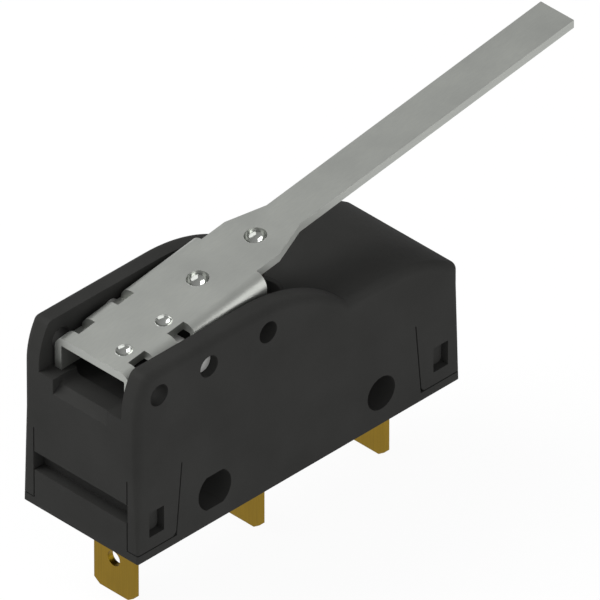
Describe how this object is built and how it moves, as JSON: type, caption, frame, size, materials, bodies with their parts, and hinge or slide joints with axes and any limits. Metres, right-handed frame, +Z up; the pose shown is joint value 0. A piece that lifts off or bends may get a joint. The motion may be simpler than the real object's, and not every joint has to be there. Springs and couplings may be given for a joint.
{
  "type": "micro switch",
  "caption": "Basic snap-action micro switch: black housing with cheeks that carry a long sheet lever, cross mounting holes, and brass tab terminals below.",
  "frame": {"origin": "on the axis of the round mounting hole, at the middle of the body's width", "axes": "+X along the body towards the lever's tip, +Y across the body along the mounting holes, +Z up, away from the terminals"},
  "size_m": [0.0729, 0.0176, 0.0431],
  "materials": {
    "black_plastic": "satin moulded, near black",
    "plunger_plastic": "smooth moulded",
    "lever_steel": "rolled stainless sheet, satin",
    "pin_steel": "ground, bright",
    "brass": "rolled sheet, satin",
    "rivet_metal": "satin",
    "spring_bronze": "rolled strip",
    "silver": "satin silver"
  },
  "bodies": {
    "housing": {"anchor_rivet_left": "rivet_metal", "anchor_rivet_right": "rivet_metal", "case": "black_plastic", "closed_arm": "brass", "closed_arm_rivet": "rivet_metal", "closed_contact": "silver", "closed_terminal": "brass", "common_terminal": "brass", "cover": "black_plastic", "open_arm": "brass", "open_arm_rivet": "rivet_metal", "open_contact": "silver", "open_terminal": "brass", "pivot_pin": "pin_steel", "plunger_bush": "plunger_plastic", "spring_anchor": "brass"},
    "lever": {"lever": "lever_steel"},
    "plunger": {"plunger": "plunger_plastic"},
    "blade": {"moving_blade": "spring_bronze", "snap_spring": "spring_bronze", "moving_contact": "silver"}
  },
  "joints": [
    {"name": "lever_pivot", "type": "hinge", "parent": "housing", "child": "lever", "pos_m": [-0.02622, 0, 0.0167], "axis": [0, 1, 0], "range_deg": [0, 4], "stiffness_Nm_per_rad": 0.05, "springref_deg": -20.05},
    {"name": "plunger_slide", "type": "slide", "parent": "housing", "child": "plunger", "axis": [0, 0, -1], "range_m": [0, 0.0011]},
    {"name": "blade_tip", "type": "hinge", "parent": "housing", "child": "blade", "pos_m": [-0.0297, 0, 0.007], "axis": [0, 1, 0], "range_deg": [0, 3.6]}
  ],
  "couplings": [
    {"joint": "plunger_slide", "follows": "lever_pivot", "m_per_rad": 0.01572},
    {"joint": "blade_tip", "follows": "lever_pivot", "ratio": 0.8187}
  ]
}
